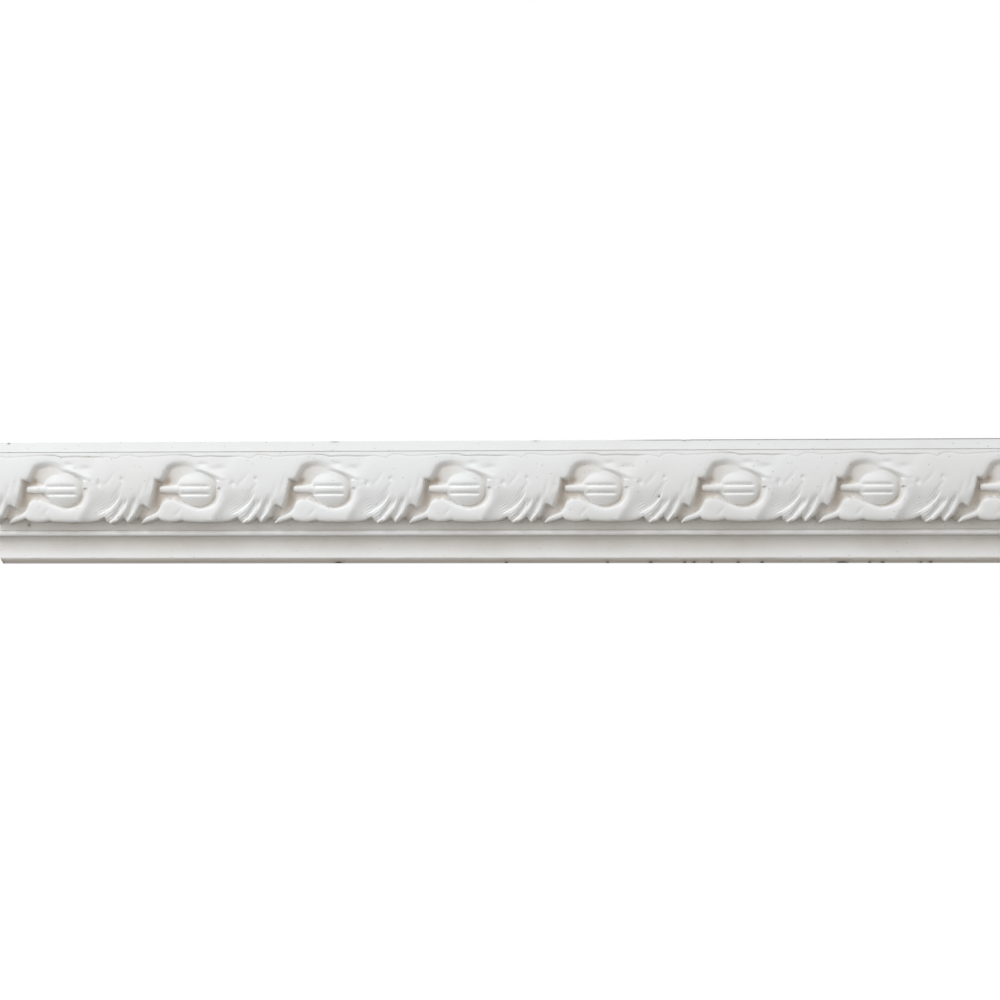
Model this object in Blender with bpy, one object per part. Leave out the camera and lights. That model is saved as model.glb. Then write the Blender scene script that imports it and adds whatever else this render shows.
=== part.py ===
"""Cast plaster cornice length: a running acanthus leaf with ribbed seed pods between plain mouldings.

Metres, +Z up, +X along the length. The wall is the plane y = 0 and the moulding stands out from it
towards -Y. The origin is the middle of the wall bedding face.
"""

import math

import bpy
import numpy as np

# Length, and the leaf repeat along it
LENGTH = 1.016
REPEAT = 0.1363
FIRST_POD = 0.0742

# Heights of the mouldings, from the ceiling down
TOP_FILLET_HEIGHT = 0.0102
QUIRK_HEIGHT = 0.0008
THIN_FILLET_HEIGHT = 0.002
BAND_HEIGHT = 0.071
GROOVE_HEIGHT = 0.004
BEAD_HEIGHT = 0.0064
CAVETTO_HEIGHT = 0.0206
ARRIS_HEIGHT = 0.0018
SPLAY_HEIGHT = 0.0052

# How far each moulding stands out beyond the one below it, from the wall up
SOFFIT_DEPTH = 0.0095
SPLAY_DEPTH = 0.006
CAVETTO_DEPTH = 0.0075
BEAD_PROUD = 0.004
BAND_FOOT_PROUD = 0.0115
BAND_SETBACK = 0.018
TOP_FILLET_PROUD = 0.0015

# How deep the recesses are cut, and how far the leaf band bellies out from its chord
QUIRK_CUT = 0.001
GROOVE_CUT = 0.015
BEAD_DEPTH = 0.0034
BAND_BULGE = 0.0042
CARVING_DEPTH = 0.014

# Back: flat bedding faces against the wall and the ceiling, and a flat cast face between them
WALL_BED = 0.028
CEILING_BED = 0.024

# Spacing of the loft's sections and rows, and the faces kept once flat stretches are thinned out
SECTION_STEP = 0.0018
CARVED_ROW_STEP = 0.0014
BEAD_ROWS = 8
CAVETTO_ROWS = 10
MOST_TRIANGLES = 8600
END_TRUE_WITHIN = 0.0002

# The carving is drawn on a grid of this size, one unit to a millimetre at the sizes above.
# Its x is zero at the left of the drawing and its d is zero at the ceiling line.
DRAWN_REPEAT = 136.3
DRAWN_POD = 94.8
DRAWN_BAND = 71.0
DRAWN_BAND_TOP = 13.0
DRAWN_DEPTH = 14.0

# Wavy line where the leaves meet the thin fillet, and the scalloped foot of the leaves
LEAF_TOP = [(40, 15), (60, 13.9), (72, 13), (88, 13.1), (95, 14.9), (110, 14.3), (126, 14.9), (142, 14.6),
            (148, 15.8), (151, 17), (154, 15.2), (158, 13.2), (166, 13.2), (171, 14.4)]
LEAF_FOOT = [(37, 82.4), (42, 81.2), (51, 78.4), (55.8, 76.6), (58, 79.2), (66, 80.8), (73, 80.6),
             (80.4, 78.8), (83, 80.3), (100, 81.2), (122, 80.6), (129, 79.4), (136.2, 76),
             (138.4, 79.4), (142, 82.4), (149, 80.2), (155.6, 75.8), (157.6, 79.6), (160.5, 81.9),
             (166, 76.5), (169, 76), (171, 80)]
FILLET_LEVEL = 0.6
FOOT_ROLL = 2.2
FOOT_ROLL_RUN = 1.4
FOOT_SHARP = 0.9

# Edge of the hollow round the seed pod, and levels on the floor of it and of the gap, as (x, d, level)
HOLLOW_EDGE = [(55.5, 40), (60, 36.4), (63, 31), (67, 24.6), (73, 21.4), (80, 20.4), (86, 20.4), (92, 22),
               (98, 25.4), (104, 28), (111, 31.4), (116.5, 35.5), (120, 40.5), (121.8, 46), (121, 52),
               (117, 58.5), (111, 64), (98, 67.6), (85.5, 64), (76, 59.6), (70.6, 57.8), (65, 58),
               (61, 60), (55, 60), (52, 52)]
RECESS_FLOOR = [(57, 41, -8.5), (65, 40, -7.5), (66, 35, -6.5), (70, 29, -5.4), (77, 25, -4.4),
                (84, 23.5, -3.6), (91, 25, -2.4), (84, 29, -3), (76, 34, -4.4), (98, 28.5, -1.8),
                (107, 32, -1.6), (114, 37, -2), (117.5, 43, -2.6), (117, 51, -3.8), (110, 58.5, -5.2),
                (103, 62.5, -5.8), (86, 60.5, -6), (76, 54.5, -7), (66, 54, -8), (60, 52, -8.5),
                (122, 48, -1.2), (53, 50, -9), (50, 60, -9), (47, 68, -9), (41, 72, -9), (36, 77, -10),
                (32, 82, -14)]

# Edge of the deep gap between a frond and the next leaf
GAP_EDGE = [(54.2, 38), (53.8, 42.3), (51.8, 50.4), (49.8, 57.2), (47, 63.6), (45, 66), (42.5, 64.4),
            (39.4, 63.4), (36.8, 65.8), (31.6, 75.5), (28, 81), (27, 86), (30, 94), (39, 94), (36.6, 82.6),
            (38.8, 78.6), (42, 75.8), (50.5, 72.2), (54.3, 70), (57, 66.4), (58.8, 62.4), (61.2, 59.2),
            (65.4, 57.6), (71, 57.6), (73, 52), (68, 44.5), (63, 40)]

# Levels that give the leaf its swell, and the ridges and gouge cuts laid over it
LEAF_SWELL = [(140, 30, 0.4), (165, 30, 0.3), (150, 45, 0.5), (175, 45, 0.8), (120, 20, -0.4),
              (60, 20, 0.3), (40, 35, 0.5), (100, 18, -0.3), (62, 62, 0.2), (61, 67, 1.6), (70, 60, 1),
              (75, 66, 1.4), (85, 68, 1.9), (97, 70, 2.4), (110, 68, 2.4), (119, 58, 1.4), (45, 77, 2.2),
              (60, 77, 3.4), (75, 77, 3.6), (90, 78, 4), (104, 77, 4.2), (137, 60, 0), (124, 76, 1.6),
              (142, 80, 2.4), (150, 74, 1.4), (160, 80, 2.4), (166, 72, 1.2), (182, 60, 1)]
FOLD = [(126, 51), (122.6, 58), (118.5, 65), (113, 73), (110, 80)]
FOLD_TROUGH = [(143, 50), (138, 58), (133, 65), (127, 72), (122, 80), (120, 84)]
CRESTS = [[(157, 46), (154.5, 54), (150, 61), (145, 65.6), (140, 69), (130, 74.4)],
          [(163, 54), (161, 61), (156.5, 67), (151, 73), (145, 78.5), (140.5, 82)],
          [(172.5, 50), (171.2, 58), (168.5, 66), (164.6, 73), (160.6, 78), (158.4, 82)]]
CREST_CUTS = [(2.2, 5, 0.25), (3, 5.4, 0.01), (2.9, 5, 0.01)]
GROOVES = [[(157, 56), (153.5, 64), (149.5, 71), (145, 77)],
           [(168, 55), (165, 63), (161.5, 71), (156, 79)]]
VEINS = [[(163, 32), (158, 41), (151, 50), (144, 58)], [(179, 36), (175, 49), (171, 62)],
         [(82, 64), (78.5, 68), (74.5, 72.5), (71, 77)], [(152, 26), (144, 38), (134, 48)],
         [(188, 26), (185, 40), (180, 54)]]
RIM_ROLL = [(92, 25), (99, 27.6), (110, 31.2), (120, 35), (128, 38.4)]
RIM_ROLL_HEIGHT = 1.3
TAB = [(116.8, 38.8), (131.4, 39.8), (132.4, 45.6), (124, 46.4), (116.8, 46.8)]
TAB_LEVEL = 0.7

# Seed pod: the middle and half sizes of its dome, its level at the rim, its rise and how its shoulder
# rounds over, the ring cut round it on the right, and its lengthwise cuts as (d, depth)
POD_D = 47.4
POD_SHIFT = 0.4
POD_HALF_LENGTH = 19.8
POD_HALF_HEIGHT = 17
POD_RIM = -4.2
POD_RISE = 4.8
POD_SHOULDER = 0.7
RING_DEPTH = 1
RING_AT = 1.05
RING_WIDTH = 0.11
POD_CUTS = [(45, 1.9), (52.8, 1.8)]

# Stem on the left of the pod, with its ends given from the pod's middle
STEM_TIP = -37.5
STEM_ROOT = -10
STEM_LEVEL = -5.6
STEM_HALF = 3.4
STEM_RISE = 3.4

# Drilled pits, as (middle, radii, depth)
PITS = [((102.5, 22.6), (5, 2.4), 0.9), ((119.5, 26.4), (6, 2.8), 0.8), ((156.6, 37.4), (1.6, 2.2), 1.1),
        ((132.6, 42), (2.6, 3), 1.2), ((57.6, 41), (3.2, 3), 2), ((65.4, 40.4), (3.2, 3), 3)]


def clear_scene():
    """Remove whatever the opened scene holds."""
    for item in list(bpy.data.objects):
        bpy.data.objects.remove(item, do_unlink=True)


def ease(low, high, value):
    """Smooth step from 0 at low to 1 at high."""
    share = np.clip((value - low) / (high - low), 0, 1)
    return share * share * (3 - 2 * share)


def mix(first, second, share):
    """Blend from first to second."""
    return first + (second - first) * share


def smooth_curve(points, spans=6):
    """Catmull-Rom curve through the drawn points."""
    drawn = np.asarray(points, float)
    full = np.vstack([2 * drawn[0] - drawn[1], drawn, 2 * drawn[-1] - drawn[-2]])
    t = np.linspace(0, 1, spans, endpoint=False)[:, None]
    runs = []
    for a, b, c, e in zip(full, full[1:], full[2:], full[3:]):
        cubic = (3 * b - a - 3 * c + e) * t**3
        square = (2 * a - 5 * b + 4 * c - e) * t**2
        runs.append((2 * b + (c - a) * t + square + cubic) / 2)
    return np.vstack(runs + [drawn[-1:]])


def near(x, middle):
    """The copy of x, along the repeats, that lies nearest to the middle of a drawn form."""
    return np.mod(x - middle + DRAWN_REPEAT / 2, DRAWN_REPEAT) - DRAWN_REPEAT / 2 + middle


def to_line(line, x, d):
    """Distance to a line, the side of it, and how far along it the nearest place lies."""
    best = np.full(x.shape, np.inf)
    side = np.ones(x.shape)
    share = np.zeros(x.shape)
    steps = np.diff(line, axis=0)
    lengths = np.hypot(steps[:, 0], steps[:, 1])
    runs = np.concatenate([[0], np.cumsum(lengths)])
    for (ax, ad), (sx, sd), length, start in zip(line, steps, lengths, runs):
        t = np.clip(((x - ax) * sx + (d - ad) * sd) / length**2, 0, 1)
        gap = np.hypot(x - ax - t * sx, d - ad - t * sd)
        closer = gap < best
        best = np.where(closer, gap, best)
        side = np.where(closer, np.sign(sx * (d - ad) - sd * (x - ax)), side)
        share = np.where(closer, (start + t * length) / runs[-1], share)
    return best, side, share


def into_outline(outline, x, d):
    """Distance in from a closed outline, negative outside it."""
    gap = to_line(outline, x, d)[0]
    odd = np.zeros(x.shape, bool)
    for (ax, ad), (bx, bd) in zip(outline, outline[1:]):
        if ad != bd:
            odd ^= ((ad > d) != (bd > d)) & (x < (bx - ax) * (d - ad) / (bd - ad) + ax)
    return np.where(odd, gap, -gap)


def level_field(spots, spread, x, d):
    """Smooth level through a few spots, the same in every repeat."""
    total = np.zeros(x.shape)
    weight = np.zeros(x.shape)
    for spot_x, spot_d, level in spots:
        pull = np.exp(-((near(x, spot_x) - spot_x) ** 2 + (d - spot_d) ** 2) / (2 * spread**2)) + 1e-8
        total += pull * level
        weight += pull
    return total / weight


def raise_ridge(level, points, height, width, fades, x, d):
    """Add a rounded ridge along a line, or a rounded cut where the height is negative."""
    line = smooth_curve(points)
    gap, _, share = to_line(line, near(x, line[:, 0].mean()), d)
    strength = ease(0, fades[0], share) * ease(0, fades[1], 1 - share)
    return level + height * strength * np.exp(-((gap / width) ** 2))


def cut_beside(level, points, depth, run, tail, x, d):
    """Cut down the upper left side of a line, so that the line is left as a crest."""
    line = smooth_curve(points)
    gap, side, share = to_line(line, near(x, line[:, 0].mean()), d)
    strength = ease(0, 0.35, share) * ease(0, tail, 1 - share)
    cut = depth * np.exp(-((gap / run) ** 1.3)) * ease(-1.2, 2.6, gap * side)
    return level - cut * strength


def press_dimple(level, middle, radii, depth, x, d):
    """Press a rounded pit into the surface."""
    reach = np.hypot((near(x, middle[0]) - middle[0]) / radii[0], (d - middle[1]) / radii[1])
    return level - depth * np.exp(-(reach**2))


def smooth_max(first, second, soft):
    """The higher of two levels, blended where they meet."""
    share = np.clip(0.5 + (first - second) / (2 * soft), 0, 1)
    return mix(second, first, share) + soft * share * (1 - share)


def stand_pod(floor, x, d):
    """Floor of the hollow with the seed pod, a dome with two lengthwise cuts, and its stem standing on it."""
    across = near(x, DRAWN_POD) - DRAWN_POD
    off = d - POD_D
    radius = np.hypot((across - POD_SHIFT) / POD_HALF_LENGTH, off / POD_HALF_HEIGHT)
    ring = np.exp(-(((radius - RING_AT) / RING_WIDTH) ** 2)) * ease(-4, 8, across)
    dome = POD_RIM + POD_RISE * np.clip(1 - radius**2, 0, 1) ** POD_SHOULDER
    ends = ease(-19, -12, across) * ease(-16, -10, -across)
    for cut_d, depth in POD_CUTS:
        beside = d - cut_d
        dome -= depth * ends * np.exp(-((beside / np.where(beside < 0, 2.1, 1)) ** 2))
    taper = np.sqrt(np.clip((across - STEM_TIP) / 18, 0, 1))
    spread = np.sqrt(np.clip(1 - (off / (STEM_HALF + taper)) ** 2, 0, 1))
    stem = STEM_LEVEL + STEM_RISE * (taper + spread - 1)
    on_stem = (across > STEM_TIP) & (across < STEM_ROOT) & (spread > 0)
    nothing = np.full(d.shape, floor.min())
    raised = np.maximum(np.where(radius < 1, dome, nothing), np.where(on_stem, stem, nothing))
    return smooth_max(floor - RING_DEPTH * ring, raised, 1.2)


def frond(level, x, d):
    """The fold of the lower leaf and the overlapping ribs of the frond."""
    level = raise_ridge(level, FOLD_TROUGH, -1.2, 9.5, (0.4, 0.01), x, d)
    level = raise_ridge(level, FOLD, 0.8, 4, (0.35, 0.01), x, d)
    for points, (depth, run, tail) in zip(CRESTS, CREST_CUTS):
        level = cut_beside(level, points, depth, run, tail, x, d)
    for points in VEINS:
        level = raise_ridge(level, points, -0.45, 1.9, (0.5, 0.4), x, d)
    for points in GROOVES:
        level = raise_ridge(level, points, -1.5, 2.2, (0.4, 0.01), x, d)
    return level


def recess(level, x, d):
    """The gap and the hollow cut down to their floor, with the seed pod, rolled rim, pits and tab."""
    gap = into_outline(smooth_curve(GAP_EDGE + GAP_EDGE[:1]), near(x, GAP_EDGE[0][0]), d)
    hollow = into_outline(smooth_curve(HOLLOW_EDGE + HOLLOW_EDGE[:1]), near(x, DRAWN_POD), d)
    floor = stand_pod(level_field(RECESS_FLOOR, 4.4, x, d), x, d)
    lower_leaf = ease(50, 61, d)
    beyond = np.clip(-np.maximum(gap, hollow), 0, None) / mix(2.6, 4.2, lower_leaf)
    level -= mix(1.2, 2.2, lower_leaf) * np.exp(-beyond) * np.clip(-floor / 5, 0, 1)
    level = mix(level, floor, np.maximum(ease(-1, 1.8, gap), ease(-1.2, mix(5.5, 2.6, lower_leaf), hollow)))
    level = raise_ridge(level, RIM_ROLL, RIM_ROLL_HEIGHT, 2.8, (0.35, 0.2), x, d)
    tab = into_outline(np.array(TAB + TAB[:1]), near(x, TAB[0][0]), d)
    level = mix(level, TAB_LEVEL, ease(-0.6, 1, tab))
    for middle, radii, depth in PITS:
        level = press_dimple(level, middle, radii, depth, x, d)
    return level


def carving(x, d):
    """Level of the carving against the band's face, in drawn units, negative into the plaster."""
    level = frond(level_field(LEAF_SWELL, 7, x, d), x, d)
    level = recess(level, x, d)
    foot_x, foot_d = np.array(LEAF_FOOT).T
    above_foot = np.interp(np.mod(x, DRAWN_REPEAT), np.mod(foot_x, DRAWN_REPEAT), foot_d,
                           period=DRAWN_REPEAT) - d
    level -= FOOT_ROLL * np.exp(-np.clip(above_foot, 0, None) / FOOT_ROLL_RUN)
    level = mix(level, -DRAWN_BAND, ease(FOOT_SHARP, -FOOT_SHARP, above_foot))
    top_x, top_d = np.array(LEAF_TOP).T
    below_top = d - np.interp(np.mod(x, DRAWN_REPEAT), np.mod(top_x, DRAWN_REPEAT), top_d,
                              period=DRAWN_REPEAT)
    return mix(FILLET_LEVEL, level, ease(-FOOT_SHARP, FOOT_SHARP, below_top))


def section_levels():
    """Drops below the ceiling and distances from the wall that the section is built from."""
    heights = (TOP_FILLET_HEIGHT, QUIRK_HEIGHT, THIN_FILLET_HEIGHT, BAND_HEIGHT, GROOVE_HEIGHT,
               BEAD_HEIGHT, CAVETTO_HEIGHT, ARRIS_HEIGHT, SPLAY_HEIGHT)
    drops = np.concatenate([[0], np.cumsum(heights)])
    steps = (SOFFIT_DEPTH, SPLAY_DEPTH, CAVETTO_DEPTH, BEAD_PROUD, BAND_FOOT_PROUD, BAND_SETBACK,
             TOP_FILLET_PROUD)
    return drops, np.cumsum(steps)


def band_face(drop, band_top, band_foot, top_out, foot_out):
    """Distance from the wall of the uncarved band, a shallow arc bellied out from its chord."""
    height, setback = band_foot - band_top, top_out - foot_out
    chord = math.hypot(height, setback)
    radius = (chord**2 / 4 + BAND_BULGE**2) / (2 * BAND_BULGE)
    inset = (radius - BAND_BULGE) / chord
    centre_out = (top_out + foot_out) / 2 - inset * height
    centre_drop = (band_top + band_foot) / 2 - inset * setback
    return centre_out + np.sqrt(np.maximum(radius**2 - (drop - centre_drop) ** 2, 0))


def arc_rows(turns, drop, drop_radius, out, out_radius):
    """Rows of an elliptical arc, as (drop, distance from the wall)."""
    return [(drop - drop_radius * math.sin(turn), out + out_radius * math.cos(turn)) for turn in turns]


def section_rows(along):
    """Closed sections of the moulding, one for each place along it, as arrays of drop and distance out."""
    drops, outs = section_levels()
    soffit, arris, cove_top, bead_front, foot_out, thin_out, top_out = outs
    groove_out = foot_out - GROOVE_CUT
    above = [(0, top_out), (drops[1], top_out), (drops[1], top_out - QUIRK_CUT),
             (drops[2], top_out - QUIRK_CUT)]
    carved = np.arange(drops[2], drops[5], CARVED_ROW_STEP)
    carved = np.append(carved, drops[5])
    bead = arc_rows(np.linspace(math.pi / 2, -math.pi / 2, BEAD_ROWS), (drops[5] + drops[6]) / 2,
                    BEAD_HEIGHT / 2, bead_front - BEAD_DEPTH, BEAD_DEPTH)
    cove = arc_rows(np.linspace(math.pi / 2, 0, CAVETTO_ROWS), drops[7], CAVETTO_HEIGHT, cove_top,
                    -CAVETTO_DEPTH)
    below = bead + cove + [(drops[8], arris), (drops[9], soffit), (drops[9], 0), (drops[9] - WALL_BED, 0),
                           (0, top_out - CEILING_BED)]
    x, drop = np.meshgrid(along, carved, indexing="ij")
    drawn_x = (x + LENGTH / 2 - FIRST_POD) / REPEAT * DRAWN_REPEAT + DRAWN_POD
    drawn_d = (drop - drops[3]) / BAND_HEIGHT * DRAWN_BAND + DRAWN_BAND_TOP
    face = band_face(drop, drops[3], drops[4], thin_out, foot_out)
    out = np.maximum(face + carving(drawn_x, drawn_d) * CARVING_DEPTH / DRAWN_DEPTH, groove_out)
    out[:, -1] = groove_out
    drop = np.hstack([np.tile([row[0] for row in above], (len(along), 1)), drop,
                      np.tile([row[0] for row in below], (len(along), 1))])
    out = np.hstack([np.tile([row[1] for row in above], (len(along), 1)), out,
                     np.tile([row[1] for row in below], (len(along), 1))])
    return drop, out


def loft_length():
    """Loft the moulding between its sections, from one sawn end to the other."""
    along = np.linspace(-LENGTH / 2, LENGTH / 2, max(round(LENGTH / SECTION_STEP), 2) + 1)
    drop, out = section_rows(along)
    ceiling = section_levels()[0][-1] - WALL_BED / 2
    points = np.stack([np.broadcast_to(along[:, None], drop.shape), -out, ceiling - drop], axis=-1)
    sections, rows = drop.shape
    index = np.arange(sections * rows).reshape(sections, rows)
    turned = np.roll(index, -1, axis=1)
    sides = np.stack([index[:-1], turned[:-1], turned[1:], index[1:]], axis=-1).reshape(-1, 4)
    faces = sides.tolist() + [index[0, ::-1].tolist(), index[-1].tolist()]
    mesh = bpy.data.meshes.new("cornice_length")
    mesh.from_pydata(points.reshape(-1, 3).tolist(), [], faces)
    return bpy.data.objects.new("cornice_length", mesh)


def thin_flat_stretches(piece):
    """Merge faces where the surface is flat, and set the ends square again."""
    triangles = sum(len(face.vertices) - 2 for face in piece.data.polygons)
    thinning = piece.modifiers.new("thinning", "DECIMATE")
    thinning.ratio = min(MOST_TRIANGLES / triangles, 1)
    thinned = bpy.data.meshes.new_from_object(piece.evaluated_get(bpy.context.evaluated_depsgraph_get()))
    for point in thinned.vertices:
        if abs(abs(point.co.x) - LENGTH / 2) < END_TRUE_WITHIN:
            point.co.x = math.copysign(LENGTH / 2, point.co.x)
    piece.modifiers.remove(thinning)
    piece.data = thinned


def plaster():
    """Matt off-white casting plaster."""
    material = bpy.data.materials.new("plaster")
    material.use_nodes = True
    shader = material.node_tree.nodes["Principled BSDF"]
    shader.inputs["Base Color"].default_value = (0.79, 0.785, 0.765, 1)
    shader.inputs["Roughness"].default_value = 0.85
    shader.inputs["Metallic"].default_value = 0
    return material


def main():
    """Build the moulding in a collection named for it."""
    clear_scene()
    collection = bpy.data.collections.new("cornice_moulding_length")
    bpy.context.scene.collection.children.link(collection)
    piece = loft_length()
    collection.objects.link(piece)
    thin_flat_stretches(piece)
    piece.data.materials.append(plaster())


main()
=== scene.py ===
"""Looks of a cast plaster cornice length: its fine carving, cast surface, wear and studio light.

Metres, +Z up, +X along the length. The wall is the plane y = 0, and the carved face stands out from
it towards -Y. A "drop" is a distance below the ceiling line, and an "out" a distance from the wall.
"""

import logging
import math
from collections.abc import Sequence
from dataclasses import dataclass
from enum import Enum
from typing import Any

import bpy
import numpy as np
from mathutils import Matrix, Vector


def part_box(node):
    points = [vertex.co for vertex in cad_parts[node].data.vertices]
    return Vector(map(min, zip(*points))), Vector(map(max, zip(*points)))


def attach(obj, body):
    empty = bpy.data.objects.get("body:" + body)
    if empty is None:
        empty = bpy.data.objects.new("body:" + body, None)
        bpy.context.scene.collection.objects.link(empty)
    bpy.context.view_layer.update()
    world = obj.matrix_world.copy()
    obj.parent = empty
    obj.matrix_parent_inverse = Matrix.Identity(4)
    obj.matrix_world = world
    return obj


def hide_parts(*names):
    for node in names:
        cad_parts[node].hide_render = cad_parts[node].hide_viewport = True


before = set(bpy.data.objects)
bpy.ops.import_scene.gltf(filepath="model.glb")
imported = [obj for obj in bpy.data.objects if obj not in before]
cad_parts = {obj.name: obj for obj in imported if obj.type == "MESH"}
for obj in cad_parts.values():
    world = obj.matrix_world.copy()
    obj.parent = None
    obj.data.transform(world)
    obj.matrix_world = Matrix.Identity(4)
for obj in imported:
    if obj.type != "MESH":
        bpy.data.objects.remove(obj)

Grid = np.ndarray
Spot = tuple[float, float]
Trio = tuple[float, float, float]
Line = tuple[Spot, ...]
LOG = logging.getLogger("cornice")
CAD_NODE = "cornice_length"
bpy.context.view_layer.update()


def ease(low: float, high: float, value: Grid) -> Grid:
    """Smooth step of a value, from 0 at low to 1 at high."""
    share = np.clip((value - low) / (high - low), 0, 1)
    return share * share * (3 - 2 * share)


def mix(first: Grid | float, second: Grid | float, share: Grid) -> Grid:
    """Blend from first, where the share is 0, to second, where it is 1."""
    return first + (second - first) * share


def smooth_max(first: Grid, second: Grid, soft: float) -> Grid:
    """The higher of two levels, blended over the height soft where they meet."""
    share = np.clip(0.5 + (first - second) / (2 * soft), 0, 1)
    return mix(second, first, share) + soft * share * (1 - share)


def blur(grid: Grid, along: float, down: float) -> Grid:
    """Gaussian blur of a grid whose borders are carried outwards.

    Args:
        grid: Values on a regular grid.
        along: Spread along the first axis, in samples.
        down: Spread along the second axis, in samples.

    Returns:
        The blurred grid, of the same shape.
    """
    border = int(3 * max(along, down)) + 1
    wide = np.pad(grid, border, mode="edge")
    first = np.exp(-2 * (math.pi * along * np.fft.fftfreq(wide.shape[0])) ** 2)
    second = np.exp(-2 * (math.pi * down * np.fft.rfftfreq(wide.shape[1])) ** 2)
    soft = np.fft.irfft2(np.fft.rfft2(wide) * first[:, None] * second, wide.shape)
    return soft[border:-border, border:-border]


@dataclass(frozen=True)
class Drawing:
    """Grid that the carving is drawn on: a unit is a millimetre, and its d is 0 at the ceiling line."""

    repeat: float = 136.3
    pod: float = 94.8
    band: float = 71.0
    band_top: float = 13.0

    def near(self, x: Grid, middle: float) -> Grid:
        """The copy of x, along the repeats, that lies nearest to the middle of a drawn form."""
        return np.mod(x - middle + self.repeat / 2, self.repeat) - self.repeat / 2 + middle

    def wave(self, points: Sequence[Spot], x: Grid) -> Grid:
        """Height at x of a line that runs on from one repeat to the next."""
        line_x, line_d = np.array(points).T
        return np.interp(np.mod(x, self.repeat), np.mod(line_x, self.repeat), line_d, period=self.repeat)


@dataclass(frozen=True)
class Stroke:
    """Line of the carving, drawn through a few points."""

    line: Grid

    @classmethod
    def smooth(cls, points: Sequence[Spot], spans: int = 8) -> "Stroke":
        """Catmull-Rom curve through drawn points.

        Args:
            points: Drawn points, in order.
            spans: Straight spans between two drawn points.

        Returns:
            The curve as a stroke.
        """
        drawn = np.asarray(points, float)
        full = np.vstack([2 * drawn[0] - drawn[1], drawn, 2 * drawn[-1] - drawn[-2]])
        t = np.linspace(0, 1, spans, endpoint=False)[:, None]
        runs = []
        for a, b, c, e in zip(full, full[1:], full[2:], full[3:]):
            cubic = (3 * b - a - 3 * c + e) * t**3
            square = (2 * a - 5 * b + 4 * c - e) * t**2
            runs.append((2 * b + (c - a) * t + square + cubic) / 2)
        return cls(np.vstack(runs + [drawn[-1:]]))

    @classmethod
    def closed(cls, points: Sequence[Spot]) -> "Stroke":
        """Smooth curve through drawn points and back to the first."""
        return cls.smooth(list(points) + list(points[:1]))

    @property
    def middle(self) -> float:
        """Middle of the line along the drawing."""
        return float(self.line[:, 0].mean())

    def measure(self, x: Grid, d: Grid) -> tuple[Grid, Grid, Grid]:
        """Where places lie against the line.

        Args:
            x: Places along the drawing.
            d: Places down the drawing.

        Returns:
            Distance to the line, the side of it, and how far along it the nearest place lies.
        """
        best = np.full(x.shape, np.inf)
        side = np.ones(x.shape)
        share = np.zeros(x.shape)
        steps = np.diff(self.line, axis=0)
        lengths = np.hypot(steps[:, 0], steps[:, 1])
        runs = np.concatenate([[0], np.cumsum(lengths)])
        for (ax, ad), (sx, sd), length, start in zip(self.line, steps, lengths, runs):
            t = np.clip(((x - ax) * sx + (d - ad) * sd) / length**2, 0, 1)
            gap = np.hypot(x - ax - t * sx, d - ad - t * sd)
            closer = gap < best
            best = np.where(closer, gap, best)
            side = np.where(closer, np.sign(sx * (d - ad) - sd * (x - ax)), side)
            share = np.where(closer, (start + t * length) / runs[-1], share)
        return best, side, share

    def inside(self, x: Grid, d: Grid) -> Grid:
        """Distance in from the closed line, negative outside it.

        Args:
            x: Places along the drawing.
            d: Places down the drawing.

        Returns:
            The signed distances.
        """
        gap = self.measure(x, d)[0]
        odd = np.zeros(x.shape, bool)
        for (ax, ad), (bx, bd) in zip(self.line, self.line[1:]):
            if ad != bd:
                odd ^= ((ad > d) != (bd > d)) & (x < (bx - ax) * (d - ad) / (bd - ad) + ax)
        return np.where(odd, gap, -gap)


@dataclass(frozen=True)
class SeedPod:
    """Ribbed seed pod that lies in the hollow of each leaf, with the pointed stem on its left."""

    middle_d: float = 47.4
    shift: float = 0.4
    half_length: float = 19.8
    half_height: float = 17.0
    rim: float = -4.2
    rise: float = 4.8
    shoulder: float = 0.7
    ring_depth: float = 1.0
    ring_at: float = 1.05
    ring_width: float = 0.11
    ring_start: Spot = (-4, 8)
    cuts: Line = ((45, 1.9), (52.8, 1.8))
    cut_widths: Spot = (2.1, 1)
    cut_start: Spot = (-19, -12)
    cut_end: Spot = (-16, -10)
    blend: float = 1.2
    stem_tip: float = -37.5
    stem_root: float = -10
    stem_level: float = -5.6
    stem_half: float = 3.4
    stem_rise: float = 3.4
    stem_taper: float = 18.0

    def level(self, across: Grid, d: Grid, floor: Grid) -> Grid:
        """Level of the hollow's floor with the pod and its stem standing on it.

        Args:
            across: Places along the drawing, from the pod's middle.
            d: Places down the drawing.
            floor: Level of the bare floor.

        Returns:
            The levels, in drawn units.
        """
        off = d - self.middle_d
        radius = np.hypot((across - self.shift) / self.half_length, off / self.half_height)
        ring = np.exp(-(((radius - self.ring_at) / self.ring_width) ** 2)) * ease(*self.ring_start, across)
        dome = self.rim + self.rise * np.clip(1 - radius**2, 0, 1) ** self.shoulder
        ends = ease(*self.cut_start, across) * ease(*self.cut_end, -across)
        for cut_d, depth in self.cuts:
            beside = d - cut_d
            dome -= depth * ends * np.exp(-((beside / np.where(beside < 0, *self.cut_widths)) ** 2))
        taper = np.sqrt(np.clip((across - self.stem_tip) / self.stem_taper, 0, 1))
        spread = np.sqrt(np.clip(1 - (off / (self.stem_half + taper)) ** 2, 0, 1))
        stem = self.stem_level + self.stem_rise * (taper + spread - 1)
        on_stem = (across > self.stem_tip) & (across < self.stem_root) & (spread > 0)
        nothing = np.full(d.shape, floor.min())
        raised = np.maximum(np.where(radius < 1, dome, nothing), np.where(on_stem, stem, nothing))
        return smooth_max(floor - self.ring_depth * ring, raised, self.blend)


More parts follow.
